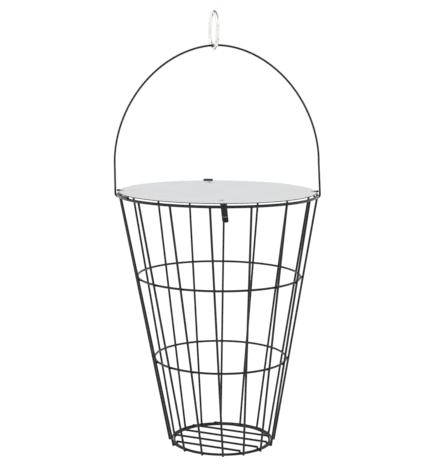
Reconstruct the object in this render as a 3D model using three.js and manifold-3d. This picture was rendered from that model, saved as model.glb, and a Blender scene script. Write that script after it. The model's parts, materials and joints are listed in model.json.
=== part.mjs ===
import * as THREE from "three";
import { mergeVertices } from "three/addons/utils/BufferGeometryUtils.js";
import Module from "manifold-3d";

// A hanging round wire basket for hay and greens: a tapered cage with a flat sheet lid, a tall bail and
// a snap hook. Lengths are millimetres and +Z is up. The origin is the point under the crown of the snap
// hook from which everything hangs. The front, with the latch, faces -Y, and the bail stands in the XZ plane.

const wasm = await Module();
wasm.setup();

const degrees = Math.PI / 180;

// Clearances
const weldGap = 0.3;
const runningGap = 0.3;
const boreGap = 0.25;
const cutOverrun = 1;

// Wires of the cage
const rimWire = 3.5;
const cageWire = 2.8;
const rimRadius = 123;
const baseRadius = 63.5;
const basketHeight = 313.8;
const hoopUpperDrop = 102;
const hoopLowerDrop = 206.4;
const baseShift = 7.2;
const uprightCount = 16;
const uprightTurnTop = -4.1 * degrees;
const uprightTurnBase = 1.0 * degrees;

// The lapped and welded joint of the rim
const lapAzimuth = -62 * degrees;
const lapLength = 17;
const lapShoulder = 50 * degrees;
const lapBite = 0.5;

// Floor grate
const floorDrop = 0.6;
const floorTurn = -24 * degrees;
const floorBarCount = 5;
const floorBarPitchShare = 0.38221;
const floorBarShiftShare = 0.07084;

// Bail, which can lean by bailSwing on the rim
const bailWire = 2.5;
const bailSwing = 30 * degrees;
const eyePlay = 1.0;
const eyeSeatGap = 0.6;
const eyeInset = 0.4;
const archShift = -1.47;
const archOverhang = 2.7;
const archFoot = 40;
const archHeight = 142.1;
const archExponent = 1.886;

// Lid
const lidInset = 0.7;
const lidThickness = 1.0;
const lidTurn = 4.6 * degrees;
const eyeNotchClearance = 1.5;
const eyeNotchSideClearance = 0.6;

// Hinge strap and rivets
const strapThickness = 0.9;
const strapOffset = -3.15;
const strapBend = 1.3;
const strapLegShare = 0.45;
const rivetInset = 25.3;
const leafTail = 5;
const hingeWidth = 12;
const hingeRiserInset = 6.4;
const hingeLoopRise = 1.05;
const hingePlay = 0.7;
const hingeLip = 3.6;
const rivetShank = 1.4;
const rivetHead = 3.0;
const rivetHeadHeight = 1.1;
const rivetTail = 2.3;
const rivetTailHeight = 0.7;

// Latch
const latchWidth = 7.4;
const latchThickness = 0.8;
const latchCreaseDrop = 11.1;
const latchDrop = 17.2;
const latchFlare = 2.2;
const latchCorner = 2.4;
const latchLean = 6 * degrees;
const latchPinRadius = 0.6;
const latchPinOverhang = 0.4;
const latchPinAngle = 51 * degrees;
const knuckleWall = 0.65;
const knuckleWidth = 3.0;

// Snap hook
const hookLength = 48;
const hookWidth = 24;
const hookWire = 4.5;
const hookTurn = -60 * degrees;
const hookOffset = -5.8;
const hookPivotDrop = 31;
const hookNoseDrop = 13;
const gateWire = 4.4;
const gateTongue = 1.6;
const gatePinRadius = 0.8;
const noseTenon = 1.8;
const noseClearance = 0.9;
const gateSpringRadius = 0.85;
const gateSpringLength = 8;
const gateSpringWire = 0.4;
const gateSpringTurns = 6;

// Facets
const wireSides = 10;
const hookSides = 14;
const springSides = 6;
const springSteps = 12;
const rimSteps = 72;
const hoopSteps = 64;
const baseSteps = 56;
const lapSteps = 6;
const eyeStep = 18 * degrees;
const archSteps = 48;
const hookSteps = 48;
const roundSteps = 24;
const lidSteps = 96;
const bendSteps = 4;

const powderCoat = { color: 0x2f302e, roughness: 0.55, metalness: 0.1 };
const greySheet = { color: 0xd9dbde, roughness: 0.4, metalness: 0.3 };
const blackStrip = { color: 0x1c1d1c, roughness: 0.5, metalness: 0.2 };
const nickel = { color: 0xc9c9c6, roughness: 0.15, metalness: 1.0 };

function named(name, geometry, finish) {
  const mesh = new THREE.Mesh(geometry, new THREE.MeshStandardMaterial(finish));
  mesh.name = name;
  return mesh;
}

// Solids for cutting and joining

function solidOf(geometry) {
  const bare = geometry.clone();
  bare.deleteAttribute("normal");
  bare.deleteAttribute("uv");
  const merged = mergeVertices(bare);
  const vertProperties = new Float32Array(merged.attributes.position.array);
  const triVerts = new Uint32Array(merged.index.array);
  return new wasm.Manifold(new wasm.Mesh({ numProp: 3, vertProperties, triVerts }));
}

function geometryOf(solid) {
  const mesh = solid.getMesh();
  const geometry = new THREE.BufferGeometry();
  geometry.setAttribute("position", new THREE.BufferAttribute(mesh.vertProperties, 3));
  geometry.setIndex(new THREE.BufferAttribute(mesh.triVerts, 1));
  return geometry;
}

// A wire follows its own list of points, one step to each, so that tight bends get short steps.
class WirePath extends THREE.Curve {
  constructor(points) {
    super();
    this.points = points;
  }

  getPoint(share) {
    const place = share * (this.points.length - 1);
    const index = Math.min(Math.floor(place), this.points.length - 2);
    return this.points[index].clone().lerp(this.points[index + 1], place - index);
  }

  getPointAt(share) {
    return this.getPoint(share);
  }

  getTangentAt(share) {
    const last = this.points.length - 1;
    const index = Math.round(share * last);
    const before = this.points[Math.max(index - 1, 0)];
    const after = this.points[Math.min(index + 1, last)];
    return after.clone().sub(before).normalize();
  }
}

function wireSection(radius, sides) {
  const section = new THREE.Shape();
  for (let i = 0; i < sides; i++) {
    const angle = (i * 2 * Math.PI) / sides;
    const place = [radius * Math.cos(angle), radius * Math.sin(angle)];
    if (i === 0) {
      section.moveTo(...place);
    } else {
      section.lineTo(...place);
    }
  }
  section.closePath();
  return section;
}

function bentWire(points, wire, sides) {
  const extrudePath = new WirePath(points);
  return new THREE.ExtrudeGeometry(wireSection(wire / 2, sides), { steps: points.length - 1, extrudePath });
}

function straightWire(name, start, end, wire, finish) {
  const along = end.clone().sub(start);
  const geometry = new THREE.CylinderGeometry(wire / 2, wire / 2, along.length(), wireSides);
  const mesh = named(name, geometry, finish);
  mesh.position.copy(start).add(end).multiplyScalar(1 / 2);
  mesh.quaternion.setFromUnitVectors(new THREE.Vector3(0, 1, 0), along.normalize());
  return mesh;
}

// A round bar along X, as pins, bores and knuckles are
function barAlongX(radius, length, y, z) {
  const bar = new THREE.CylinderGeometry(radius, radius, length, roundSteps);
  bar.rotateZ(Math.PI / 2);
  bar.translate(0, y, z);
  return bar;
}

// A profile drawn in the YZ plane, carried along X and centred on it
function profileAlongX(shape, width) {
  const geometry = new THREE.ExtrudeGeometry(shape, { depth: width, bevelEnabled: false });
  geometry.translate(0, 0, -width / 2);
  geometry.applyMatrix4(new THREE.Matrix4().set(0, 0, 1, 0, 1, 0, 0, 0, 0, 1, 0, 0, 0, 0, 0, 1));
  return geometry;
}

// Corners of a bent strip, each inner one rounded by an arc that its straight legs leave room for
function roundedCorners(corners, radius) {
  const points = [corners[0].clone()];
  for (let i = 1; i < corners.length - 1; i++) {
    const back = corners[i - 1].clone().sub(corners[i]);
    const ahead = corners[i + 1].clone().sub(corners[i]);
    const shorterLeg = Math.min(back.length(), ahead.length());
    back.normalize();
    ahead.normalize();
    const half = Math.acos(THREE.MathUtils.clamp(back.dot(ahead), -1, 1)) / 2;
    const reach = Math.min(radius / Math.tan(half), strapLegShare * shorterLeg);
    const inward = back.clone().add(ahead).normalize();
    const centre = inward.multiplyScalar(reach / Math.cos(half)).add(corners[i]);
    const first = back.multiplyScalar(reach).add(corners[i]).sub(centre);
    const last = ahead.multiplyScalar(reach).add(corners[i]).sub(centre);
    const sweep = Math.atan2(first.cross(last), first.dot(last));
    for (let step = 0; step <= bendSteps; step++) {
      const spoke = first.clone().rotateAround(new THREE.Vector2(), (sweep * step) / bendSteps);
      points.push(spoke.add(centre));
    }
  }
  points.push(corners[corners.length - 1].clone());
  return points;
}

// The outline of a strip of one thickness about its centre line
function stripShape(line, thickness) {
  const sides = [[], []];
  line.forEach((point, i) => {
    const before = point.clone().sub(line[Math.max(i - 1, 0)]).normalize();
    const after = line[Math.min(i + 1, line.length - 1)].clone().sub(point).normalize();
    const along = before.clone().add(after).normalize();
    const stretch = i === 0 || i === line.length - 1 ? 1 : along.dot(after);
    const across = new THREE.Vector2(-along.y, along.x).multiplyScalar(thickness / 2 / stretch);
    sides[0].push(point.clone().add(across));
    sides[1].unshift(point.clone().sub(across));
  });
  return new THREE.Shape([...sides[0], ...sides[1]]);
}

// The lid lies on the straps that run under it, and the straps lie on the rim.

const leafZ = rimWire / 2 + runningGap + strapThickness / 2;
const lidUnderside = leafZ + strapThickness / 2 + runningGap;
const lidTop = lidUnderside + lidThickness;

// Cage

// Places across the basket are counted from the front, -Y, turning toward +X.
function spoke(radius, azimuth, z, shift = 0) {
  return new THREE.Vector3(shift + radius * Math.sin(azimuth), -radius * Math.cos(azimuth), z);
}

const footRadius = baseRadius + cageWire + weldGap;
const uprightTwist = uprightTurnBase - uprightTurnTop;

// The uprights are straight but end a little farther round than they start, so their radius at a drop is
// the length of a mix of two spokes.
function uprightRadius(drop) {
  const share = drop / basketHeight;
  const top = (1 - share) * rimRadius;
  const foot = share * footRadius;
  return Math.sqrt(top ** 2 + foot ** 2 + 2 * top * foot * Math.cos(uprightTwist));
}

const uprightSlope = Math.atan((rimRadius - footRadius) / basketHeight);
const hoopInset = (cageWire + weldGap) / Math.cos(uprightSlope);

function ring(name, radius, wire, steps, drop) {
  const mesh = named(name, new THREE.TorusGeometry(radius, wire / 2, wireSides, steps), powderCoat);
  mesh.position.set((baseShift * drop) / basketHeight, 0, -drop);
  return mesh;
}

// The ends of the rim's wire lap. The upper one lies on the outer shoulder of the lower one, clear of the
// lid's edge, and the weld melts them into each other by the bite.
function rimRing() {
  const lapPitch = rimWire - lapBite;
  const lapRadius = rimRadius + lapPitch * Math.cos(lapShoulder);
  const lapRise = lapPitch * Math.sin(lapShoulder);
  const hoop = new THREE.TorusGeometry(rimRadius, rimWire / 2, wireSides, rimSteps);
  const lapAngle = lapLength / lapRadius;
  const lapPoints = [];
  for (let i = 0; i <= lapSteps; i++) {
    lapPoints.push(spoke(lapRadius, lapAzimuth + (i / lapSteps - 1 / 2) * lapAngle, lapRise));
  }
  const lap = bentWire(lapPoints, rimWire, wireSides);
  return named("rim_ring", geometryOf(solidOf(hoop).add(solidOf(lap))), powderCoat);
}

function uprights() {
  const topZ = -rimWire / 2 - weldGap;
  const footZ = -basketHeight - cageWire / 2;
  const all = [];
  for (let i = 0; i < uprightCount; i++) {
    const azimuth = (i * 2 * Math.PI) / uprightCount;
    const atRim = spoke(rimRadius, azimuth + uprightTurnTop, 0);
    const atBase = spoke(footRadius, azimuth + uprightTurnBase, -basketHeight, baseShift);
    const top = atRim.clone().lerp(atBase, -topZ / basketHeight);
    const foot = atRim.clone().lerp(atBase, -footZ / basketHeight);
    const name = `upright_${String(i + 1).padStart(2, "0")}`;
    all.push(straightWire(name, top, foot, cageWire, powderCoat));
  }
  return all;
}

const floorRingRadius = baseRadius - cageWire - weldGap;
const floorRingDrop = basketHeight + floorDrop;

function floorBars() {
  const pitch = floorBarPitchShare * floorRingRadius;
  const shift = floorBarShiftShare * floorRingRadius;
  const grate = new THREE.Group();
  grate.position.set(baseShift, 0, -floorRingDrop + cageWire + weldGap);
  grate.rotation.z = floorTurn;
  for (let i = 0; i < floorBarCount; i++) {
    const offset = (i - (floorBarCount - 1) / 2) * pitch + shift;
    const half = Math.sqrt(floorRingRadius ** 2 - offset ** 2);
    const start = new THREE.Vector3(-half, offset, 0);
    const end = new THREE.Vector3(half, offset, 0);
    grate.add(straightWire(`floor_bar_${i + 1}`, start, end, cageWire, powderCoat));
  }
  return grate;
}

// Bail: two eyes looped round the rim, two legs and an arch between them

const eyeRadius = (rimWire + bailWire) / 2 + eyePlay;
const eyeRise = eyePlay - eyeSeatGap;
const eyeReach = rimRadius - eyeInset;
const archHalfWidth = rimRadius + archOverhang;

function archHeightAt(x) {
  const share = Math.abs(x - archShift) / archHalfWidth;
  return archFoot + archHeight * (1 - share ** archExponent) ** (1 / archExponent);
}

function eyePoints(side) {
  const tailLimit = (eyeRadius - bailWire / 2 - weldGap) / (eyeRadius + bailWire / 2);
  const sweep = 2 * Math.PI - Math.acos(tailLimit);
  const steps = Math.ceil(sweep / eyeStep);
  const points = [];
  for (let i = 0; i <= steps; i++) {
    const angle = (-sweep * i) / steps;
    const x = side * (eyeReach + eyeRadius * Math.cos(angle));
    points.push(new THREE.Vector3(x, 0, eyeRise + eyeRadius * Math.sin(angle)));
  }
  return points;
}

function bail() {
  const arch = [];
  const power = 2 / archExponent;
  for (let i = 0; i <= archSteps; i++) {
    const angle = (i * Math.PI) / archSteps;
    const run = Math.sign(Math.cos(angle)) * Math.abs(Math.cos(angle)) ** power;
    const rise = Math.max(Math.sin(angle), 0) ** power;
    arch.push(new THREE.Vector3(archShift + archHalfWidth * run, 0, archFoot + archHeight * rise));
  }
  const points = [...eyePoints(1).reverse(), ...arch, ...eyePoints(-1)];
  return named("bail", bentWire(points, bailWire, wireSides), powderCoat);
}

// Lid

const lidRadius = rimRadius - lidInset;
const rimAtStrap = Math.sqrt(rimRadius ** 2 - strapOffset ** 2);
const rivetReach = rimAtStrap - rivetInset;
const rivetHole = rivetShank + runningGap;
const riserY = rimAtStrap - hingeRiserInset;

function lidDisc() {
  const edge = lidThickness / 2;
  const profile = [new THREE.Vector2(0, 0), new THREE.Vector2(lidRadius - edge, 0)];
  for (let i = 1; i < bendSteps; i++) {
    const angle = (i / bendSteps - 1 / 2) * Math.PI;
    const x = lidRadius - edge + edge * Math.cos(angle);
    profile.push(new THREE.Vector2(x, edge + edge * Math.sin(angle)));
  }
  profile.push(new THREE.Vector2(lidRadius - edge, lidThickness), new THREE.Vector2(0, lidThickness));
  const disc = new THREE.LatheGeometry(profile, lidSteps);
  disc.rotateX(Math.PI / 2);
  disc.translate(0, 0, lidUnderside);

  const cutHeight = lidThickness + 2 * cutOverrun;
  const cutZ = lidUnderside + lidThickness / 2;
  // The slot starts where the strap's bend does, so that the bend clears its edge.
  const slotInner = riserY - strapBend;
  const slotOuter = riserY + strapThickness / 2 + runningGap;
  const slot = new THREE.BoxGeometry(hingeWidth + 2 * runningGap, slotOuter - slotInner, cutHeight);
  slot.translate(strapOffset, (slotInner + slotOuter) / 2, cutZ);

  // Each notch leaves room for an eye of the bail when the bail leans to either side.
  const eyeTop = eyeRise + eyeRadius + bailWire / 2;
  const eyeLean = Math.sin(bailSwing) * eyeTop + Math.cos(bailSwing) * (bailWire / 2);
  const notchWidth = 2 * (eyeLean + eyeNotchSideClearance);
  const notchFloor = eyeReach - eyeRadius - bailWire / 2 - eyeNotchClearance;
  const notchLength = 2 * (lidRadius - notchFloor);

  let solid = solidOf(disc).subtract(solidOf(slot));
  for (const end of [1, -1]) {
    const hole = new THREE.CylinderGeometry(rivetHole, rivetHole, cutHeight, roundSteps);
    hole.rotateX(Math.PI / 2);
    hole.translate(strapOffset, end * rivetReach, cutZ);
    const notch = new THREE.BoxGeometry(notchLength, notchWidth, cutHeight);
    notch.translate(end * lidRadius, 0, cutZ);
    // The eyes lie on the X axis of the basket, so the notches turn back by the lid's own turn.
    notch.rotateZ(-lidTurn);
    solid = solid.subtract(solidOf(hole)).subtract(solidOf(notch));
  }
  return named("lid_disc", geometryOf(solid), greySheet);
}

function rivet(name, y) {
  const headBase = lidTop + runningGap;
  const tailTop = leafZ - strapThickness / 2 - runningGap;
  const profile = [
    new THREE.Vector2(0, tailTop - rivetTailHeight),
    new THREE.Vector2(rivetTail, tailTop - rivetTailHeight),
    new THREE.Vector2(rivetTail, tailTop),
    new THREE.Vector2(rivetShank, tailTop),
    new THREE.Vector2(rivetShank, headBase),
    new THREE.Vector2(rivetHead, headBase),
  ];
  for (let i = 1; i < bendSteps; i++) {
    const angle = (i / bendSteps) * (Math.PI / 2);
    const x = rivetHead * Math.cos(angle);
    profile.push(new THREE.Vector2(x, headBase + rivetHeadHeight * Math.sin(angle)));
  }
  profile.push(new THREE.Vector2(0, headBase + rivetHeadHeight));
  const geometry = new THREE.LatheGeometry(profile, roundSteps);
  geometry.rotateX(Math.PI / 2);
  geometry.translate(strapOffset, y, 0);
  return named(name, geometry, nickel);
}

function rivetBore(y) {
  const depth = strapThickness + 2 * cutOverrun;
  const bore = new THREE.CylinderGeometry(rivetHole, rivetHole, depth, roundSteps);
  bore.rotateX(Math.PI / 2);
  bore.translate(0, y, leafZ);
  return solidOf(bore);
}

// The hinge strap runs under the lid, up through its slot, over the edge and down round the rim.
function lidHinge() {
  const loopTop = lidTop + hingeLoopRise + strapThickness / 2;
  const loopReach = rimWire / 2 + hingePlay + strapThickness / 2;
  const corners = [
    new THREE.Vector2(rivetReach - leafTail, leafZ),
    new THREE.Vector2(riserY, leafZ),
    new THREE.Vector2(riserY, loopTop),
    new THREE.Vector2(rimAtStrap + loopReach, loopTop),
    new THREE.Vector2(rimAtStrap + loopReach, -loopReach),
    new THREE.Vector2(rimAtStrap - hingeLip, -loopReach),
  ];
  const strip = stripShape(roundedCorners(corners, strapBend), strapThickness);
  const solid = solidOf(profileAlongX(strip, hingeWidth)).subtract(rivetBore(rivetReach));
  const mesh = named("lid_hinge", geometryOf(solid), blackStrip);
  mesh.position.x = strapOffset;
  return mesh;
}

// The latch hangs on a pin above the outer side of the rim's wire.
const knuckleBore = latchPinRadius + boreGap;
const knuckleRadius = knuckleBore + knuckleWall;
const latchPinReach = rimWire / 2 + knuckleRadius + runningGap;
const latchPinY = -(rimAtStrap + latchPinReach * Math.cos(latchPinAngle));
const latchPinZ = latchPinReach * Math.sin(latchPinAngle);

function latchBracket() {
  const leafEnd = latchPinY + knuckleRadius + runningGap;
  const wide = stripShape(
    [new THREE.Vector2(-rivetReach + leafTail, leafZ), new THREE.Vector2(leafEnd, leafZ)],
    strapThickness,
  );
  const tongue = stripShape(
    [new THREE.Vector2(leafEnd + cutOverrun, leafZ), new THREE.Vector2(latchPinY, leafZ)],
    strapThickness,
  );
  const solid = solidOf(profileAlongX(wide, latchWidth))
    .add(solidOf(profileAlongX(tongue, knuckleWidth)))
    .add(solidOf(barAlongX(knuckleRadius, knuckleWidth, latchPinY, latchPinZ)))
    .subtract(solidOf(barAlongX(knuckleBore, latchWidth, latchPinY, latchPinZ)))
    .subtract(rivetBore(-rivetReach));
  const mesh = named("latch_bracket", geometryOf(solid), blackStrip);
  mesh.position.x = strapOffset;
  return mesh;
}

function latchPin() {
  const length = latchWidth + 2 * latchPinOverhang;
  const mesh = named("latch_pin", barAlongX(latchPinRadius, length, 0, 0), nickel);
  mesh.position.set(strapOffset, latchPinY, latchPinZ);
  return mesh;
}

// A sprung tab, creased and flared at its end for a finger, and leaning a little to one side
function latchClip() {
  const face = -(rimAtStrap + rimWire / 2 + runningGap + latchThickness / 2);
  const corners = [
    new THREE.Vector2(face, latchPinZ),
    new THREE.Vector2(face, -latchCreaseDrop),
    new THREE.Vector2(face - latchFlare, -latchDrop),
  ];
  const strip = stripShape(roundedCorners(corners, latchThickness), latchThickness);
  const outline = new THREE.Shape();
  const half = latchWidth / 2;
  const top = latchPinZ + knuckleRadius + cutOverrun;
  const cornerX = half - latchCorner;
  const cornerZ = -latchDrop + latchCorner;
  outline.moveTo(half, top);
  outline.lineTo(-half, top);
  outline.lineTo(-half, cornerZ);
  outline.absarc(-cornerX, cornerZ, latchCorner, Math.PI, 1.5 * Math.PI, false);
  outline.absarc(cornerX, cornerZ, latchCorner, 1.5 * Math.PI, 2 * Math.PI, false);
  outline.closePath();
  const depth = 2 * (latchFlare + knuckleRadius + latchThickness);
  const options = { depth, bevelEnabled: false, curveSegments: bendSteps };
  const front = new THREE.ExtrudeGeometry(outline, options);
  front.rotateX(Math.PI / 2);
  front.translate(0, face + depth / 2, 0);

  const clearance = barAlongX(
    knuckleRadius + runningGap,
    knuckleWidth + 2 * runningGap,
    latchPinY,
    latchPinZ,
  );
  const solid = solidOf(profileAlongX(strip, latchWidth))
    .add(solidOf(barAlongX(knuckleRadius, latchWidth, latchPinY, latchPinZ)))
    .subtract(solidOf(barAlongX(knuckleBore, latchWidth + 2 * cutOverrun, latchPinY, latchPinZ)))
    .subtract(solidOf(clearance))
    .intersect(solidOf(front));
  const geometry = geometryOf(solid);
  const lean = Math.tan(latchLean);
  geometry.applyMatrix4(
    new THREE.Matrix4().set(1, 0, -lean, lean * latchPinZ, 0, 1, 0, 0, 0, 0, 1, 0, 0, 0, 0, 1),
  );
  const mesh = named("latch_clip", geometry, blackStrip);
  mesh.position.x = strapOffset;
  return mesh;
}

// Snap hook, drawn upright in its own XZ plane with the gate on the +X side

const hookRadius = hookWire / 2;
const hookHalfWidth = (hookWidth - hookWire) / 2;
const hookHalfHeight = (hookLength - hookWire) / 2;
const hookCentreZ = hookRadius - hookHalfHeight;

function hookAngleAt(z) {
  return Math.asin((z - hookCentreZ) / hookHalfHeight);
}

function hookPoint(angle) {
  const z = hookCentreZ + hookHalfHeight * Math.sin(angle);
  return new THREE.Vector3(hookHalfWidth * Math.cos(angle), 0, z);
}

const pivot = hookPoint(hookAngleAt(-hookPivotDrop));
const nose = hookPoint(hookAngleAt(-hookNoseDrop));
const gateRadius = gateWire / 2;
const gateAlong = nose.clone().sub(pivot).normalize();
const gateAngle = Math.atan2(gateAlong.x, gateAlong.z);
const gateEnd = nose.clone().sub(pivot).length() - noseClearance;
const cheekSlotTop = gateRadius + runningGap + hookRadius / 2;
const tongueRadius = gatePinRadius + gateTongue / 2;
const gateSlot = gateTongue + 2 * runningGap;

// A box or bar of the gate, given along the gate from the pivot, and set in the hook's plane
function onGate(geometry) {
  geometry.rotateY(gateAngle);
  geometry.translate(pivot.x, 0, pivot.z);
  return solidOf(geometry);
}

function barAcross(radius, length) {
  return new THREE.CylinderGeometry(radius, radius, length, roundSteps);
}

function barAlongGate(radius, from, to) {
  const bar = new THREE.CylinderGeometry(radius, radius, to - from, roundSteps);
  bar.rotateX(Math.PI / 2);
  bar.translate(0, 0, (from + to) / 2);
  return bar;
}

function plateAlongGate(width, thickness, from, to) {
  const plate = new THREE.BoxGeometry(width, thickness, to - from);
  plate.translate(0, 0, (from + to) / 2);
  return plate;
}

function hookBody() {
  // The wire starts a cheek's radius below the pivot, so that the gate can turn on it.
  const standOff = gateRadius + runningGap;
  const start = hookAngleAt(-hookPivotDrop - standOff);
  const end = hookAngleAt(-hookNoseDrop) - 2 * Math.PI;
  const points = [];
  for (let i = 0; i <= hookSteps; i++) {
    points.push(hookPoint(start + ((end - start) * i) / hookSteps));
  }
  const bow = solidOf(bentWire(points, hookWire, hookSides));
  const tongue = onGate(plateAlongGate(2 * tongueRadius, gateTongue, -standOff - hookRadius, 0));
  const tongueEnd = onGate(barAcross(tongueRadius, gateTongue));
  const tenon = onGate(
    plateAlongGate(hookRadius, gateTongue, gateEnd - noseTenon, gateEnd + noseClearance + hookRadius),
  );
  const pinBore = onGate(barAcross(gatePinRadius + boreGap, hookWire));
  const solid = bow.add(tongue).add(tongueEnd).subtract(pinBore).add(tenon);
  return named("snap_hook_body", geometryOf(solid), nickel);
}

function hookGate() {
  const bar = onGate(barAlongGate(gateRadius, -gateRadius, gateEnd));
  const rounding = onGate(barAcross(gateRadius, gateWire)).add(
    onGate(plateAlongGate(gateWire, gateWire, 0, gateEnd)),
  );
  const slotFloor = gateEnd - noseTenon - runningGap;
  const cheekSlot = onGate(plateAlongGate(2 * gateWire, gateSlot, -gateWire, cheekSlotTop));
  const noseSlot = onGate(plateAlongGate(2 * gateWire, gateSlot, slotFloor, gateEnd + cutOverrun));
  const springTop = cheekSlotTop + gateSpringLength + runningGap;
  const boreRadius = gateSpringRadius + gateSpringWire / 2 + runningGap;
  const springBore = onGate(barAlongGate(boreRadius, cheekSlotTop - runningGap, springTop));
  const pinBore = onGate(barAcross(gatePinRadius + boreGap, 2 * gateWire));
  const solid = bar
    .intersect(rounding)
    .subtract(cheekSlot)
    .subtract(noseSlot)
    .subtract(springBore)
    .subtract(pinBore);
  return named("snap_hook_gate", geometryOf(solid), nickel);
}

function gatePin() {
  const mesh = named("gate_pin", barAcross(gatePinRadius, gateWire), nickel);
  mesh.position.copy(pivot);
  return mesh;
}

function gateSpring() {
  const steps = gateSpringTurns * springSteps;
  const rise = gateSpringLength - gateSpringWire;
  const points = [];
  for (let i = 0; i <= steps; i++) {
    const angle = (i * 2 * Math.PI) / springSteps;
    const z = gateSpringWire / 2 + (rise * i) / steps;
    points.push(
      new THREE.Vector3(gateSpringRadius * Math.cos(angle), gateSpringRadius * Math.sin(angle), z),
    );
  }
  const mesh = named("gate_spring", bentWire(points, gateSpringWire, springSides), nickel);
  mesh.position.copy(pivot).addScaledVector(gateAlong, cheekSlotTop);
  mesh.rotation.y = gateAngle;
  return mesh;
}

// Assembly

const snapHook = new THREE.Group();
snapHook.rotation.z = hookTurn;
snapHook.add(hookBody(), hookGate(), gatePin(), gateSpring());

const lid = new THREE.Group();
lid.rotation.z = lidTurn;
lid.add(
  lidDisc(),
  lidHinge(),
  rivet("hinge_rivet", rivetReach),
  rivet("latch_rivet", -rivetReach),
  latchBracket(),
  latchPin(),
  latchClip(),
);

const bailAtHook = -(hookLength - 2 * hookWire) + runningGap + bailWire / 2;
const basket = new THREE.Group();
basket.position.set(-hookOffset, 0, bailAtHook - archHeightAt(hookOffset));
basket.add(
  rimRing(),
  ring("hoop_upper", uprightRadius(hoopUpperDrop) - hoopInset, cageWire, hoopSteps, hoopUpperDrop),
  ring("hoop_lower", uprightRadius(hoopLowerDrop) - hoopInset, cageWire, hoopSteps, hoopLowerDrop),
  ring("base_ring", baseRadius, cageWire, baseSteps, basketHeight),
  ring("floor_ring", floorRingRadius, cageWire, baseSteps, floorRingDrop),
  ...uprights(),
  floorBars(),
  bail(),
  lid,
);

const feeder = new THREE.Group();
feeder.add(snapHook, basket);

export default feeder;
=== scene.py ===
# %% [markdown]
# # A hanging hay basket
#
# The object feeds hay or greens to a small animal or a bird. A tapered basket of welded wire hangs by a
# wire bail from a spring snap hook, and a flat sheet lid closes it. Its maker bends and welds the wires,
# bakes powder on them and rivets the lid's fittings on last. This notebook takes the same road.
#
# The sizes and joints come from a packed construction model, which is loaded first and never moved. Each
# piece is worked out in its frame, in metres, and rides on one of its bodies.

# %% Load the construction model as a fixed frame
import json
import math

import bpy
import numpy as np
from mathutils import Matrix, Vector


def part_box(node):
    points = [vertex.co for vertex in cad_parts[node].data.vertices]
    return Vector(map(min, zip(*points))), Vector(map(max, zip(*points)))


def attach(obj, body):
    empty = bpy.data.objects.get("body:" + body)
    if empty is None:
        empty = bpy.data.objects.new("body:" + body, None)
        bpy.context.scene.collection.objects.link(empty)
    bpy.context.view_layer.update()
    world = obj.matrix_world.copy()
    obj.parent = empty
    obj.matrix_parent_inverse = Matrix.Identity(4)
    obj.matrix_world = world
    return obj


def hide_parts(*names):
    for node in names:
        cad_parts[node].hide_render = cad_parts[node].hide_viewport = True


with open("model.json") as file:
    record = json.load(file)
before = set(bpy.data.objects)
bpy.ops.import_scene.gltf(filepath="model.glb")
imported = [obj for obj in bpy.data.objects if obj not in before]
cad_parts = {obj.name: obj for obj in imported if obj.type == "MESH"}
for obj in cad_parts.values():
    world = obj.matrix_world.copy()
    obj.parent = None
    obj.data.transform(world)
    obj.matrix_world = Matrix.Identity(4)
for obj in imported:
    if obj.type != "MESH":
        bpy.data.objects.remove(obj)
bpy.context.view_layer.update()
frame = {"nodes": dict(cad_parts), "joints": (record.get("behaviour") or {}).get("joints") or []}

# %% [markdown]
# ## What the frame gives
#
# The origin is the point under the hook's crown from which everything hangs. The joints give the places of
# the rim, the lid's hinge and the gate, and a node's corner points say where its wire runs. Places set by
# eye would drift from them.

# %% Read places from the frame
MM = 0.001
upward = np.array([0.0, 0.0, 1.0])

joint_of = {joint["name"]: joint for joint in frame["joints"]}
rim_centre = np.array(joint_of["basket_swing"]["pos_m"])


def unit(vectors):
    """Each vector divided by its own length."""
    return vectors / np.linalg.norm(vectors, axis=-1, keepdims=True)


def mesh_points(mesh):
    """The points of a mesh, one row each."""
    flat = np.empty(3 * len(mesh.vertices), np.float32)
    mesh.vertices.foreach_get("co", flat)
    return flat.reshape(-1, 3).astype(float)


def wire_ends(node):
    """The two ends of a straight wire, the higher one first.

    Its corner points spread most along it, and the mean of those on one side of the middle is an end.
    """
    points = np.unique(mesh_points(frame["nodes"][node].data).round(7), axis=0)
    middle = points.mean(axis=0)
    direction = np.linalg.svd(points - middle)[2][0]
    ahead = (points - middle) @ direction > 0
    ends = np.stack([points[ahead].mean(axis=0), points[~ahead].mean(axis=0)])
    return ends[np.argsort(-ends[:, 2])]


print("rim centre", rim_centre.round(4), "first upright", wire_ends("upright_01").round(4).tolist())

# %% [markdown]
# ## Sizes
#
# The basket needs few numbers: the gauges of its wires, the rim's radius and the gap at a weld. They are
# written in millimetres, as on a drawing. The frame tells the rest.

# %% Sizes of the wires
rim_wire = 3.5 * MM
cage_wire = 2.8 * MM
weld_gap = 0.3 * MM
rim_radius = (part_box("rim_ring")[1].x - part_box("rim_ring")[0].x - rim_wire) / 2
upright_nodes = sorted(node for node in frame["nodes"] if node.startswith("upright_"))
bar_nodes = sorted(node for node in frame["nodes"] if node.startswith("floor_bar_"))
print(len(upright_nodes), "uprights,", len(bar_nodes), "floor bars, rim radius", round(rim_radius, 4), "m")

# %% [markdown]
# ## Meshes from arrays
#
# Almost every piece is a section carried along a line. That is a grid of points, and its faces are the
# grid's cells. Curves with a bevel would be quicker to write, but their ends are flat and their points fall
# where they like.

# %% From a grid of points to a mesh
crease_angle = math.radians(38)


def grid_faces(rows, columns, rows_close=False, columns_close=True):
    """One four-sided face for each cell of a grid of points that is stored row by row."""
    row = np.arange(rows if rows_close else rows - 1)[:, None]
    column = np.arange(columns if columns_close else columns - 1)[None, :]
    here, ahead, beside = row * columns, (row + 1) % rows * columns, (column + 1) % columns
    corners = np.broadcast_arrays(here + column, here + beside, ahead + beside, ahead + column)
    return np.stack(corners, axis=-1).reshape(-1, 4).tolist()


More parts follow.
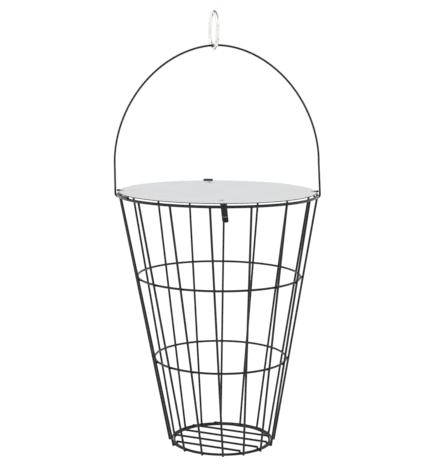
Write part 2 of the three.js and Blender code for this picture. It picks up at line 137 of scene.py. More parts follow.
def end_caps(rows, columns):
    """Flat faces over the first and the last row of such a grid."""
    return [list(range(columns - 1, -1, -1)), list(range((rows - 1) * columns, rows * columns))]


def shade(mesh):
    """Smooth shading with the creases kept sharp."""
    mesh.polygons.foreach_set("use_smooth", np.ones(len(mesh.polygons), bool))
    mesh.set_sharp_from_angle(angle=crease_angle)


def new_object(name, data):
    """A new object in the scene."""
    thing = bpy.data.objects.new(name, data)
    bpy.context.scene.collection.objects.link(thing)
    return thing


def new_piece(name, points, faces):
    """A new object made of points and faces."""
    mesh = bpy.data.meshes.new(name)
    mesh.from_pydata(points.reshape(-1, 3), [], faces)
    shade(mesh)
    return new_object(name, mesh)


print("faces of a tube of three rings:", len(grid_faces(3, 4)))

# %% [markdown]
# ## Changing a piece
#
# Notches and bores are easier to cut than to draw. A modifier cuts them, as a tool does on the bench, and
# its result is kept as the piece's own mesh.

# %% Helpers that change and place a piece
def set_all(thing, settings):
    """Set several properties at once."""
    for name, value in settings.items():
        setattr(thing, name, value)


def modify(piece, kind, **settings):
    """Add a modifier."""
    set_all(piece.modifiers.new(kind.lower(), kind), settings)


def settle(piece):
    """Keep what a piece's modifiers made as its own mesh."""
    shown = piece.evaluated_get(bpy.context.evaluated_depsgraph_get())
    mesh = bpy.data.meshes.new_from_object(shown)
    piece.modifiers.clear()
    piece.data = mesh
    shade(mesh)


def cut_or_join(piece, others, operation):
    """Cut other solids from a piece or join them to it, and drop them."""
    for other in others:
        modify(piece, "BOOLEAN", operation=operation, solver="EXACT", object=other)
    settle(piece)
    for other in others:
        bpy.data.objects.remove(other)


def soften_edges(piece, width):
    """Round the edges of a piece, as tumbling or a press tool's radius does."""
    limit = {"limit_method": "ANGLE", "angle_limit": crease_angle}
    modify(piece, "BEVEL", width=width, segments=2, **limit, harden_normals=True)
    settle(piece)


def reshape_piece(piece, change):
    """Move a piece's points by a function of their places."""
    moved = change(mesh_points(piece.data))
    piece.data.vertices.foreach_set("co", moved.astype(np.float32).ravel())
    piece.data.update()


def place(piece, finish, slot, body, *nodes):
    """Give a finished piece its material and body, and hide the nodes it stands for. The slot is not used.
    """
    piece.data.materials.clear()
    piece.data.materials.append(finish)
    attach(piece, body)
    if nodes:
        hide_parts(*nodes)
    print(piece.name, "rides on", body, "with", len(piece.data.polygons), "faces")


# %% [markdown]
# ## Lines and sections
#
# Points must be close where a wire is cut and can be far apart where it is plain, so lines are resampled at
# chosen distances. A moving average eases a sharp bend, as a press brake does: the legs stay straight and
# the corner is rounded over a short reach.

# %% Helpers for lines
def run_along(line):
    """Distance of each point of a line from its start, measured along the line."""
    return np.concatenate([[0], np.cumsum(np.linalg.norm(np.diff(line, axis=0), axis=1))])


def resample(line, distances, values=None):
    """What stands at given distances along a line: its points, or values given at its points."""
    columns = line.T if values is None else values.T
    return np.stack([np.interp(distances, run_along(line), column) for column in columns], axis=1)


def eased(line, reach, step):
    """The moving average of a line over twice the reach, with the ends kept where they are.

    Each end is first carried straight on by the reach, which the average then takes away again.
    """
    out = unit(line[[0, -1]] - line[[1, -2]])
    longer = np.concatenate([line[:1] + reach * out[:1], line, line[-1:] + reach * out[1:]])
    length = run_along(longer)[-1]
    points = resample(longer, np.linspace(0, length, round(length / step) + 1))
    window = np.ones(round(2 * reach / step)) / round(2 * reach / step)
    return np.stack([np.convolve(axis, window, mode="valid") for axis in points.T], axis=1)


def sweep(line, section, across, scale=1.0, closed=False):
    """A section carried along a line.

    A point of the surface is the line's point, plus the section's first number along the direction
    across, plus its second along the direction square to both the line and the direction across. The
    scale widens or narrows the section.
    """
    mode = "wrap" if closed else "clip"
    ahead, behind = (line.take(np.arange(len(line)) + step, axis=0, mode=mode) for step in (1, -1))
    across = unit(np.broadcast_to(across, line.shape).astype(float))
    beside = unit(np.cross(unit(ahead - behind), across))
    size = np.broadcast_to(np.reshape(scale, (-1, 1, 1)), (len(line), 1, 1)) * section[None]
    return line[:, None] + size[..., :1] * across[:, None] + size[..., 1:] * beside[:, None]


print("halfway between two points:", resample(np.eye(2), [math.sqrt(0.5)]))

# %% [markdown]
# ## Sections and solids
#
# Circles and rounded rectangles are the sections of wires and blocks. A profile turned about an axis gives
# the lid, the rivets and the weld beads, and an outline carried straight up gives the solids that cut.
# Blender's own cylinder would serve for some, but it has no rounded edge.

# %% Circles, rectangles, turned shapes and prisms
def arc(centre, radius, first, last, count):
    """Even points of an arc: its centre, plus its radius times the cosine and the sine of the angle."""
    angle = np.linspace(first, last, count)
    return np.array(centre) + np.array(radius) * np.stack([np.cos(angle), np.sin(angle)], axis=-1)


def circle(radius, sides):
    """Even points round a circle."""
    return arc((0, 0), radius, 0, 2 * np.pi, sides + 1)[:-1]


def rounded_rectangle(width, height, corner, steps):
    """A rectangle whose corners are quarter circles.

    A circle of the corner's radius is pulled apart: each point moves by the rest of the half width and
    half height, to its own side.
    """
    angle = (np.arange(4 * steps) + 0.5) * (np.pi / 2 / steps)
    turn = np.stack([np.cos(angle), np.sin(angle)], axis=1)
    half = np.array([width / 2 - corner, height / 2 - corner])
    return np.sign(turn) * half + corner * turn


def turned(profile, sides):
    """Points and faces of a profile of radius and height, turned round the upright axis.

    The profile starts and ends on the axis. Its inner points give one ring each: the radius times the
    cosine and sine of the turn, and the height. Its two ends are poles, each joined to its ring by a fan.
    """
    radius, height = profile[1:-1, :1, None], profile[1:-1, 1:]
    ring_x, ring_y = np.moveaxis(radius * circle(1, sides), -1, 0)
    rings = np.stack(np.broadcast_arrays(ring_x, ring_y, height), axis=-1).reshape(-1, 3)
    poles = [[0, 0, profile[0, 1]], [0, 0, profile[-1, 1]]]
    low_pole = len(rings)
    last = low_pole - sides
    low_fan = [[(side + 1) % sides, side, low_pole] for side in range(sides)]
    high_fan = [[last + side, last + (side + 1) % sides, low_pole + 1] for side in range(sides)]
    return np.concatenate([rings, poles]), grid_faces(len(profile) - 2, sides) + low_fan + high_fan


def prism(name, outline, low, high):
    """A flat outline carried straight up from one height to another, and capped."""
    count = len(outline)
    levels = [np.column_stack([outline, np.full(count, height)]) for height in (low, high)]
    return new_piece(name, np.stack(levels), grid_faces(2, count) + end_caps(2, count))


print("points of a rounded square:", len(rounded_rectangle(2, 2, 0.5, steps=3)))

# %% [markdown]
# ## A cut wire
#
# Wire is sheared to length and tumbled, so its ends have a small round. A bevel modifier could round them.
# Here the tube's radius follows a quarter circle over the last tenths of a millimetre, and a flat cap
# closes it, which costs fewer faces.

# %% Round wires
wire_sides = 28
wire_cut = 0.35 * MM
cut_points = 4


def end_rounding(distance, length, radius, cuts):
    """Share of a wire's full radius at a distance along it.

    Within one cut of an end the radius grows as a quarter circle does, from the radius less the cut.
    """
    lost = 0
    for cut, from_end in zip(cuts, (distance, length - distance)):
        lost = lost + cut - np.sqrt(np.maximum(cut**2 - (cut - np.clip(from_end, 0, cut)) ** 2, 0))
    return (radius - lost) / radius


def cut_wire(name, line, across, diameter, step, cuts=(wire_cut, wire_cut), sides=wire_sides):
    """A round wire along a line, its two ends rounded by their cuts and capped."""
    length = run_along(line)[-1]
    ease = 1 - np.cos(np.linspace(0, np.pi / 2, cut_points + 1))
    middle = np.linspace(cuts[0], length - cuts[1], max(round(length / step), 1) + 1)
    distance = np.concatenate([cuts[0] * ease[:-1], middle, length - cuts[1] * ease[-2::-1]])
    points = resample(line, distance)
    if np.ndim(across) == 2:
        across = resample(line, distance, across)
    share = end_rounding(distance, length, diameter / 2, cuts)
    surface = sweep(points, circle(diameter / 2, sides), across, share)
    return new_piece(name, surface, grid_faces(len(points), sides) + end_caps(len(points), sides))


def spoke(radius, azimuth, z=0.0):
    """Places across the basket, counted from the front and turning to the right.

    The radius times the sine of the azimuth goes to the right, and times its cosine to the front.
    """
    return np.stack(np.broadcast_arrays(radius * np.sin(azimuth), -radius * np.cos(azimuth), z), axis=-1)


print("a quarter turn to the right of the front lies at", spoke(1.0, math.pi / 2).round(3))

# %% [markdown]
# ## Finishes
#
# Powder coat covers the wires, satin grey sheet the lid, a blacker coat the bent strips, and nickel the
# hook and rivets. A finish is a tree of nodes, which could be drawn by hand in the shader editor. Written
# down, it can be read and changed: a value that is itself a socket is linked, and another is set.

# %% Helpers for node trees
def fill(tree, node, inputs):
    """Link the values that are sockets to a node's inputs, and set the others."""
    for name, value in inputs.items():
        if isinstance(value, bpy.types.NodeSocket):
            tree.links.new(value, node.inputs[name])
        else:
            node.inputs[name].default_value = value


def add_node(tree, kind, inputs, **properties):
    """A new node with its properties and inputs."""
    node = tree.nodes.new(f"ShaderNode{kind}")
    set_all(node, properties)
    fill(tree, node, inputs)
    return node


def source(tree, kind, output, **properties):
    """An output of a new node that needs no input."""
    return add_node(tree, kind, {}, **properties).outputs[output]


def new_finish(name):
    """A material with its Principled shader and its object coordinates."""
    finish = bpy.data.materials.new(name)
    finish.use_nodes = True
    tree = finish.node_tree
    return finish, tree, tree.nodes["Principled BSDF"], source(tree, "TexCoord", "Object")


print("materials before the finishes:", len(bpy.data.materials))

# %% [markdown]
# ### Patterns
#
# Dimples, rolled lines and haze are all noise of different sizes, in object coordinates. A painted image
# would need seams and unwrapping, while noise moves with its piece and keeps its real scale. A relief only
# tips the shading's normals, which is enough for dimples of a hundredth of a millimetre.

# %% Helpers for patterns and colours
def noise(tree, where, size, detail=2.0):
    """Noise whose features are about as wide as the given size in metres."""
    inputs = {"Vector": where, "Scale": 1 / size, "Detail": detail}
    return add_node(tree, "TexNoise", inputs).outputs["Fac"]


def spread(tree, value, low, high, from_low=0.3, from_high=0.7):
    """Noise stretched to run between two values."""
    inputs = {"Value": value, "From Min": from_low, "From Max": from_high, "To Min": low, "To Max": high}
    return add_node(tree, "MapRange", inputs).outputs["Result"]


def blend_colours(tree, share, first, second):
    """The first colour where the share is nought, the second where it is one. They are inputs 6 and 7."""
    return add_node(tree, "Mix", {0: share, 6: first, 7: second}, data_type="RGBA").outputs[2]


def compute(tree, operation, *values):
    """The result of an operation on values."""
    return add_node(tree, "Math", dict(enumerate(values)), operation=operation).outputs[0]


def relief(tree, height, depth, strength=1.0):
    """Normals tipped as if the height were a relief of the given depth."""
    inputs = {"Height": height, "Strength": strength, "Distance": depth}
    return add_node(tree, "Bump", inputs).outputs["Normal"]


def attribute(tree, name):
    """What a piece stores at its points under a name."""
    return source(tree, "Attribute", "Fac", attribute_name=name)


def grey(level, warmth=0.0):
    """A grey of a given level, its red raised and its blue lowered by the warmth."""
    return (level * (1 + warmth), level, level * (1 - warmth), 1.0)


print("a warm grey:", grey(0.5, 0.1))

# %% [markdown]
# ### Powder coat
#
# Powder melts and flows in the oven, but keeps the dimples that painters call orange peel. The colour is a
# glossy black, which the white studio in its gloss turns to charcoal. Where the bail rubs in the hook and
# on the rim, the coat is worn through to the wire. On the latch's crease the same bare metal is worn coat
# and also a painted highlight on the bend. An attribute says where, and noise frays the edge.

# %% Powder coat
peel_size = 1.3 * MM
peel_depth = 0.012 * MM
drift_size = 30 * MM
drift_lift = 1.35
gloss_size = 4 * MM
gloss_drift = 0.1
coat_refraction = 1.4
fray_size = 0.5 * MM
fray = 0.35
worn_from, worn_to = 0.45, 0.6
# bare steel where the coat is worn; on the latch's crease it also stands for a painted highlight
bare_metal_and_highlight = grey(0.42, 0.03)


def coat(name, level, warmth, gloss, rubbed):
    """Powder coat, with bare metal where the wear attribute is high if the piece is rubbed; on the latch's
    crease that bare metal also stands for a painted highlight.
    """
    finish, tree, shader, where = new_finish(name)
    drift = spread(tree, noise(tree, where, drift_size), 0, 1)
    colour = blend_colours(tree, drift, grey(level, warmth), grey(level * drift_lift, warmth))
    roughness = spread(tree, noise(tree, where, gloss_size), gloss, gloss + gloss_drift)
    if rubbed:
        wear_and_highlight = attribute(tree, "wear_and_highlight")
        grain = spread(tree, noise(tree, where, fray_size, detail=4), -fray, fray)
        frayed_wear_and_highlight = spread(tree, compute(tree, "ADD", wear_and_highlight, grain), 0, 1, worn_from, worn_to)
        bare_and_highlight = compute(tree, "MULTIPLY", frayed_wear_and_highlight, wear_and_highlight)
        colour = blend_colours(tree, bare_and_highlight, colour, bare_metal_and_highlight)
        fill(tree, shader, {"Metallic": bare_and_highlight})
    peel = relief(tree, noise(tree, where, peel_size, detail=1.0), peel_depth)
    look = {"IOR": coat_refraction, "Base Color": colour, "Roughness": roughness, "Normal": peel}
    fill(tree, shader, look)
    return finish


powder_coat = coat("powder_coat", level=0.005, warmth=0.03, gloss=0.22, rubbed=False)
rubbed_coat = coat("rubbed_powder_coat", level=0.005, warmth=0.03, gloss=0.22, rubbed=True)
strip_coat = coat("strip_coat", level=0.004, warmth=0.0, gloss=0.28, rubbed=True)
print("coats:", powder_coat.name, rubbed_coat.name, strip_coat.name)

# %% [markdown]
# ### Satin sheet
#
# Rolling leaves fine lines on the grey sheet, which are stretched noise, and handling leaves duller
# patches. The roughness decides how far the sheet smears the white of the studio. Its rounded edge is
# painted dark as shade, and an attribute says where that is.

# %% Satin sheet
line_size = 0.35 * MM
line_stretch = (1.0, 0.04, 1.0)
line_depth = 0.008 * MM
line_strength = 0.35
patch_size = 45 * MM
sheet_dull = (0.84, 0.86, 0.885, 1)
sheet_clean = (0.89, 0.905, 0.925, 1)
# a near-black colour painted on the lid's rounded edge as shade
painted_edge_shade = grey(0.10)
sheet_metallic = 0.75
sheet_roughness = (0.36, 0.44)


def satin_sheet():
    """Grey metal sheet with fine lines, duller patches and painted shade on its edge."""
    finish, tree, shader, where = new_finish("satin_sheet")
    rolled = add_node(tree, "Mapping", {"Vector": where, "Scale": line_stretch}).outputs[0]
    lines = noise(tree, rolled, line_size, detail=3.0)
    tone = spread(tree, noise(tree, where, patch_size, detail=3.0), 0, 1)
    colour = blend_colours(tree, tone, sheet_dull, sheet_clean)
    fill(tree, shader, {
        # the edge attribute blends in the painted edge shade
        "Base Color": blend_colours(tree, attribute(tree, "edge"), colour, painted_edge_shade),
        "Metallic": sheet_metallic,
        "Roughness": spread(tree, lines, *sheet_roughness),
        "Normal": relief(tree, lines, line_depth, line_strength),
    })
    return finish


lid_finish = satin_sheet()
print("lid finish:", lid_finish.name)

# %% [markdown]
# ### Nickel plate
#
# Barrel-plated nickel is a near mirror with a warm tint, soft dents and a passing haze. The hook is bright.
# The rivets are hammered after plating, which dulls them, so that they hardly show on the lid. One function
# makes both and is told how rough the plate is.

# %% Nickel plate
nickel_hazy = (0.78, 0.77, 0.75, 1)
nickel_clear = (0.9, 0.89, 0.87, 1)
haze_size = 3 * MM
haze_drift = 0.08
dent_size = 1.6 * MM
dent_depth = 0.02 * MM


def nickel_plate(name, gloss):
    """Plated metal whose roughness starts at the gloss and drifts with its haze."""
    finish, tree, shader, where = new_finish(name)
    haze = noise(tree, where, haze_size, detail=3.0)
    fill(tree, shader, {
        "Base Color": blend_colours(tree, spread(tree, haze, 0, 1), nickel_hazy, nickel_clear),
        "Metallic": 1.0,
        "Roughness": spread(tree, haze, gloss, gloss + haze_drift),
        "Normal": relief(tree, noise(tree, where, dent_size, detail=1.0), dent_depth),
    })
    return finish


bright_nickel = nickel_plate("bright_nickel", gloss=0.05)
dull_nickel = nickel_plate("dull_nickel", gloss=0.36)
print("plated finishes:", bright_nickel.name, dull_nickel.name)

# %% [markdown]
# ## The rim
#
# The rim is the one thick wire. Its ends are lapped: the last stretch climbs on to the outer shoulder of
# the first, at the front left, just outside the lid. A second piece laid on a ring would show a seam, so
# the whole wire is one sweep, and the climb is a smooth step up and out.

# %% Rim wire with its lap
lap_azimuth = math.radians(-62)
lap_length = 17 * MM
lap_climb = 9 * MM
lap_bite = 0.5 * MM
lap_shoulder = math.radians(50)
lap_out = (rim_wire - lap_bite) * math.cos(lap_shoulder)
lap_rise = (rim_wire - lap_bite) * math.sin(lap_shoulder)
ring_step = 1.5 * MM
rim_rub_reach = 3.2 * MM


def smooth_step(share):
    """Nought before nought, one after one, and three squares less two cubes between."""
    share = np.clip(share, 0, 1)
    return 3 * share**2 - 2 * share**3


def rim_line():
    """A little more than a circle, whose last stretch is moved up and out by a smooth step."""
    first = lap_azimuth - lap_length / rim_radius / 2
    last = first + 2 * np.pi + lap_length / rim_radius
    azimuth = np.linspace(first, last, round(2 * np.pi * rim_radius / ring_step))
    before_lap = (first + 2 * np.pi - azimuth) * rim_radius
    climb = smooth_step(1 - before_lap / lap_climb)
    return rim_centre + spoke(rim_radius + lap_out * climb, azimuth, lap_rise * climb)


def mark(piece, name, values):
    """Store a number for each of a piece's points."""
    piece.data.attributes.new(name, "FLOAT", "POINT").data.foreach_set("value", values.astype(np.float32))


def mark_wear_and_highlight(piece, spots, reach):
    """Store the wear, one at a marked spot and falling to nought at the reach; on the latch's crease it
    also marks a painted highlight.
    """
    away = np.linalg.norm(mesh_points(piece.data)[:, None] - np.array(spots), axis=-1).min(axis=1)
    mark(piece, "wear_and_highlight", smooth_step(1 - away / reach))


rim = cut_wire("rim_wire", rim_line(), upward, rim_wire, ring_step)
mark_wear_and_highlight(rim, rim_centre + [[side * rim_radius, 0, -rim_wire / 2] for side in (1, -1)], rim_rub_reach)
place(rim, rubbed_coat, "cage_wire", "basket", "rim_ring")

# %% [markdown]
# ## The hoops
#
# Two hoops stiffen the cage from inside. The base ring holds the feet of the uprights, and a ring inside it
# carries the floor. Each is bent round a drum and butt welded. Blender's torus would give the ring, but a
# closed sweep can also swell a little at the weld.

# %% Hoops and rings
butt_swell = 0.06
butt_reach = 1.4 * MM
ring_welds = (
    ("upper_hoop_wire", "hoop_upper", 146),
    ("lower_hoop_wire", "hoop_lower", -124),
    ("base_ring_wire", "base_ring", 168),
    ("floor_ring_wire", "floor_ring", -151),
)


def ring_of(node):
    """Centre and radius of a ring, from its node's box."""
    low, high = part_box(node)
    return np.array((low + high) / 2), (high.x - low.x - cage_wire) / 2


def butt_welded_ring(name, node, weld_azimuth):
    """A closed tube round a circle, swollen a little at the butt weld.

    The swelling is a bell curve of the distance from the weld.
    """
    centre, radius = ring_of(node)
    count = round(2 * np.pi * radius / ring_step)
    azimuth = weld_azimuth + np.linspace(-np.pi, np.pi, count, endpoint=False)
    distance = (azimuth - weld_azimuth) * radius
    swell = 1 + butt_swell * np.exp(-((distance / butt_reach) ** 2))
    line = centre + spoke(radius, azimuth)
    surface = sweep(line, circle(cage_wire / 2, wire_sides), upward, swell, closed=True)
    piece = new_piece(name, surface, grid_faces(count, wire_sides, rows_close=True))
    place(piece, powder_coat, "cage_wire", "basket", node)


for name, node, degrees in ring_welds:
    butt_welded_ring(name, node, math.radians(degrees))

# %% [markdown]
# ## Uprights and floor bars
#
# The uprights are straight cut wires between the rim and the base ring, and a row of straight bars is the
# floor. A plain cylinder would end in a sharp edge. The cut wire rounds it, and needs no points in between.

# %% Straight wires
straight_step = 20 * MM
off_axis = [0.3, 0.9, 0.2]


def straight_wire(name, node):
    """A cut wire between a node's ends, its section square to a direction that no wire runs in."""
    ends = wire_ends(node)
    piece = cut_wire(name, ends, np.cross(unit(ends[1] - ends[0]), off_axis), cage_wire, straight_step)
    place(piece, powder_coat, "cage_wire", "basket", node)


for node in upright_nodes + bar_nodes:
    straight_wire(f"{node}_wire", node)

# %% [markdown]
# ## Welds
#
# A spot welder melts crossing wires together, and the powder fills the corner between them. What shows is a
# small soft bead between the two wires. The places follow from the wires themselves, because a place picked
# by eye would have to be picked eighty times.

# %% Places of the welds
half_pitch = (cage_wire + weld_gap) / 2
bar_inset = 0.5 * MM
tack_count = 8
tack_turn = math.radians(12)
plain_shares = (1, 1, 1)
rim_shares = (1.12, 1.12, 1.5)
tack_shares = (1.7, 0.8, 1)


def crossings_on_ring(node, tops, feet):
    """Where uprights cross a ring from outside: the centre, the ways along and out, and the bead's stretch.

    An upright's point at the ring's height gives the azimuth, and the ring's radius the place. The way
    out is square to both wires, and the weld is half a pitch along it.
    """
    centre, radius = ring_of(node)
    share = ((centre[2] - tops[:, 2]) / (feet[:, 2] - tops[:, 2]))[:, None]
    outward = unit((tops + share * (feet - tops) - centre) * [1, 1, 0])
    along = np.cross(upward, outward)
    out = unit(np.cross(along, unit(tops - feet)))
    out = out * np.sign((out * outward).sum(axis=1, keepdims=True))
    return centre + radius * outward + half_pitch * out, along, out, plain_shares


def bar_welds():
    """Where the bars' ends lie on the floor ring, a little in from each end."""
    ends = np.stack([wire_ends(node) for node in bar_nodes])
    inward = unit(ends[:, ::-1] - ends)
    centre = ends + bar_inset * inward - half_pitch * upward
    out = np.tile(upward, (2 * len(bar_nodes), 1))
    return centre.reshape(-1, 3), inward.reshape(-1, 3), out, plain_shares


def tack_welds():
    """Evenly spaced tacks between the floor ring and the base ring round it."""
    centre, radius = ring_of("floor_ring")
    out = spoke(1.0, np.linspace(0, 2 * np.pi, tack_count, endpoint=False) + tack_turn)
    return centre + (radius + half_pitch) * out, np.cross(upward, out), out, tack_shares


tops, feet = np.stack([wire_ends(node) for node in upright_nodes], axis=1)
lean = unit(tops - feet)
welds = [crossings_on_ring(node, tops, feet) for node in ("hoop_upper", "hoop_lower", "base_ring")]
welds += [(tops, unit(np.cross(lean, tops - rim_centre)), lean, rim_shares), bar_welds(), tack_welds()]
print("welds in groups of", [len(group[0]) for group in welds])

# %% [markdown]
# ### The beads
#
# A bead is a ball, squashed along the line that joins the wires' centres. One ball is moved to every
# crossing at once, and all of them are one mesh, which is lighter than eighty objects.

# %% Weld beads
bead_rows = 9
bead_columns = 14
bead_radius = 1.45 * MM
bead_half_height = 0.62 * MM


def weld_beads(name, groups):
    """One ball for each weld, its three radii laid along the weld's own directions."""
    angle = np.linspace(0, np.pi, bead_rows + 2)
    ball, ball_faces = turned(np.stack([np.sin(angle), -np.cos(angle)], axis=1), bead_columns)
    ball = ball * [bead_radius, bead_radius, bead_half_height]
    surfaces = []
    for centre, along, out, shares in groups:
        axes = np.stack([along, np.cross(out, along), out], axis=1)
        surfaces.append(centre[:, None] + np.einsum("pk,wkx->wpx", ball * shares, axes))
    points = np.concatenate(surfaces)
    starts = range(0, points[..., 0].size, len(ball))
    faces = [[corner + start for corner in face] for start in starts for face in ball_faces]
    return new_piece(name, points, faces)


place(weld_beads("weld_beads", welds), powder_coat, "cage_wire", "basket")

# %% [markdown]
# ## The bail
#
# The bail is one wire, with each end closed into an eye round the rim, so it can lean but can't come off.
# Two short legs run up to the arch. An ellipse would be too full in the shoulders, so the arch is a
# superellipse, whose exponent says how slack they are.

# %% Bail wire
bail_wire = 2.5 * MM
eye_play = 1.0 * MM
eye_seat_gap = 0.6 * MM
eye_inset = 0.4 * MM
arch_shift = -1.47 * MM
arch_overhang = 2.7 * MM
arch_foot = 40 * MM
arch_height = 142.1 * MM
arch_exponent = 1.886
bail_step = 0.5 * MM
bail_ease = 0.8 * MM
bail_rub_reach = 4.2 * MM
eye_points = 60
arch_points = 400

eye_radius = (rim_wire + bail_wire) / 2 + eye_play
eye_rise = eye_play - eye_seat_gap
eye_reach = rim_radius - eye_inset
arch_half_width = rim_radius + arch_overhang


def eye_line(side):
    """An eye: a circle round the rim, from its outer side down, in and up, until its end meets the leg."""
    tail = (eye_radius - bail_wire / 2 - weld_gap) / (eye_radius + bail_wire / 2)
    points = arc((eye_reach, eye_rise), eye_radius, 0, math.acos(tail) - 2 * np.pi, eye_points)
    return np.insert(points * (side, 1), 1, 0, axis=1)


def arch_line():
    """A superellipse: the cosine and sine of an angle, each raised to two over the exponent, sign kept."""
    angle = np.linspace(0, np.pi, arch_points)
    power = 2 / arch_exponent
    run = np.sign(np.cos(angle)) * np.abs(np.cos(angle)) ** power
    z = arch_foot + arch_height * np.maximum(np.sin(angle), 0) ** power
    return np.stack([arch_shift + arch_half_width * run, np.zeros_like(z), z], axis=1)


bail_line = rim_centre + np.concatenate([eye_line(1)[::-1], arch_line(), eye_line(-1)])
bail_line = eased(bail_line, bail_ease, bail_step / 2)
bail = cut_wire("bail_wire", bail_line, np.array([0.0, 1.0, 0.0]), bail_wire, bail_step)
crown_spot = joint_of["bail_swing"]["pos_m"] - bail_wire / 2 * upward
eye_spots = rim_centre + [[side * eye_reach, 0, eye_rise - eye_radius + bail_wire / 2] for side in (1, -1)]
mark_wear_and_highlight(bail, [crown_spot, *eye_spots], bail_rub_reach)
place(bail, rubbed_coat, "cage_wire", "bail", "bail")

# %% [markdown]
# ## The lid's own frame
#
# The lid lies level, a little turned on the basket. The hinge's axis says how far, so everything on the lid
# is drawn in the lid's own frame and turned once.

# %% The lid's frame and sizes
lid_x = -np.array(joint_of["lid_swing"]["axis"])
lid_y = unit(np.cross(upward, lid_x))
lid_axes = np.stack([lid_x, lid_y, np.cross(lid_x, lid_y)])


def on_lid(points):
    """Points drawn in the lid's frame, moved to their place over the rim."""
    return rim_centre + points @ lid_axes


running_gap = 0.3 * MM
lid_thickness = 1.0 * MM
lid_margin = 0.7 * MM
strap_thickness = 0.9 * MM
strap_offset = -3.15 * MM
strap_bend = 1.3 * MM
hinge_width = 12 * MM
rivet_inset = 25.3 * MM
riser_inset = 6.4 * MM

lid_radius = rim_radius - lid_margin
leaf_height = rim_wire / 2 + running_gap + strap_thickness / 2
lid_underside = leaf_height + strap_thickness / 2 + running_gap
lid_top = lid_underside + lid_thickness
rim_at_strap = math.sqrt(rim_radius**2 - strap_offset**2)
rivet_reach = rim_at_strap - rivet_inset
riser_place = rim_at_strap - riser_inset
print("lid's underside is", round(lid_underside / MM, 2), "mm over the rim's middle")

# %% [markdown]
# ## What is cut from the lid
#
# Two notches let the bail's eyes through, and a slot lets the hinge strap come up from below. A punch makes
# them in the real sheet, and solids of the same outline cut them here. A notch is as wide as the eye sweeps
# within the range of the bail's joint.

# %% Notches and slot
notch_clearance = 1.5 * MM
notch_side_clearance = 0.6 * MM
notch_corner = 1.4 * MM
slot_corner = 0.5 * MM
cut_overrun = 1.0 * MM
bail_swing = math.radians(joint_of["bail_swing"]["range_deg"][1])


def lid_cutters():
    """The two notches, turned back to the bail's line, and the strap's slot."""
    eye_top = eye_rise + eye_radius + bail_wire / 2
    eye_lean = math.sin(bail_swing) * eye_top + math.cos(bail_swing) * bail_wire / 2
    notch_width = 2 * (eye_lean + notch_side_clearance)
    notch_floor = eye_reach - eye_radius - bail_wire / 2 - notch_clearance
    notch = rounded_rectangle(2 * (lid_radius - notch_floor), notch_width, notch_corner, steps=8)
    inner, outer = riser_place - strap_bend, riser_place + strap_thickness / 2 + running_gap
    slot = rounded_rectangle(hinge_width + 2 * running_gap, outer - inner, slot_corner, steps=5)
    outlines = [(notch + [side * lid_radius, 0]) @ lid_axes[:2, :2].T for side in (1, -1)]
    outlines.append(slot + [strap_offset, (inner + outer) / 2])
    low, high = lid_underside - cut_overrun, lid_top + cut_overrun
    return [prism("cutter", outline, low, high) for outline in outlines]


cutters = lid_cutters()
print(len(cutters), "cutters")

# %% [markdown]
# ## The lid
#
# A disc is punched from 1 mm sheet. A plain cylinder would look stiff, so the disc is a turned profile with
# a soft edge and rings enough to be slightly wavy. The waves come after the cuts, so that the notches
# follow them.

# %% Lid disc
lid_sides = 240
lid_rings = 34
edge_points = 8
wave_depth = 0.14 * MM
wave_sizes = np.array([31 * MM, 26 * MM])
wave_starts = np.array([0.6, -0.4])


def lid_profile():
    """From the middle of the underside out, round the edge by a half circle, and back over the top."""
    edge = lid_thickness / 2
    flat = (lid_radius - edge) * np.sin(np.linspace(0, np.pi / 2, lid_rings))
    round_edge = arc((lid_radius - edge, edge), edge, -np.pi / 2, np.pi / 2, edge_points)
    low = np.stack([flat[:-1], np.zeros(lid_rings - 1)], axis=1)
    high = np.stack([flat[-2::-1], np.full(lid_rings - 1, lid_thickness)], axis=1)
    return np.concatenate([low, round_edge, high]) + [0, lid_underside]


def wavy(points):
    """The sheet's waves: two slow sines across each other, nothing at the middle and full at the edge."""
    share = (points[:, :2] ** 2).sum(axis=1) / lid_radius**2
    phase = points[:, :2] / wave_sizes + wave_starts
    wave = np.sin(phase[:, 0]) * np.cos(phase[:, 1])
    return on_lid(points + (wave_depth * share * wave)[:, None] * upward)


lid = new_piece("lid_sheet", *turned(lid_profile(), lid_sides))
cut_or_join(lid, cutters, "DIFFERENCE")
from_axis = np.linalg.norm(mesh_points(lid.data)[:, :2], axis=1)
# The edge attribute marks the rounded edge, where the lid's colour is painted dark as shade.
mark(lid, "edge", smooth_step((from_axis - lid_radius + lid_thickness / 2) / (lid_thickness / 4)))
reshape_piece(lid, wavy)
place(lid, lid_finish, "lid_sheet", "lid", "lid_disc")

# %% [markdown]
# ## Bent strips
#
# The hinge and the latch are strips of thin steel, cut flat and bent. A line in the plane of the bends
# gives a strip's middle, and columns of points across it its width. Faces are left out for a window.
# Modifiers then add the thickness, half to each side, and the small rounds of the edges.

# %% Strips of sheet
strip_step = 0.12 * MM
strip_edge = 0.14 * MM


def bent_strip(name, line, columns, thickness, width_share=1.0, window_rows=0, window_half=0.0):
    """A strip along a line in the lid's fore-and-aft plane.

    A point is the line's point, moved sideways by its column times the share of the full width there. The
    window is the first rows of cells, where they are nearer to the middle than its half width.
    """
    sideways = np.ones((len(line), 1)) * np.reshape(width_share, (-1, 1)) * columns
    rows, count = sideways.shape
    places = np.broadcast_arrays(sideways, line[:, :1], line[:, 1:])
    faces = np.array(grid_faces(rows, count, columns_close=False)).reshape(rows - 1, count - 1, 4)
    middle = np.abs(columns[:-1] + columns[1:]) / 2 < window_half
    open_cell = (np.arange(rows - 1)[:, None] < window_rows) & middle
    piece = new_piece(name, np.stack(places, axis=-1), faces[~open_cell].tolist())
    modify(piece, "SOLIDIFY", thickness=thickness, offset=0, use_even_offset=True)
    settle(piece)
    soften_edges(piece, strip_edge)
    return piece


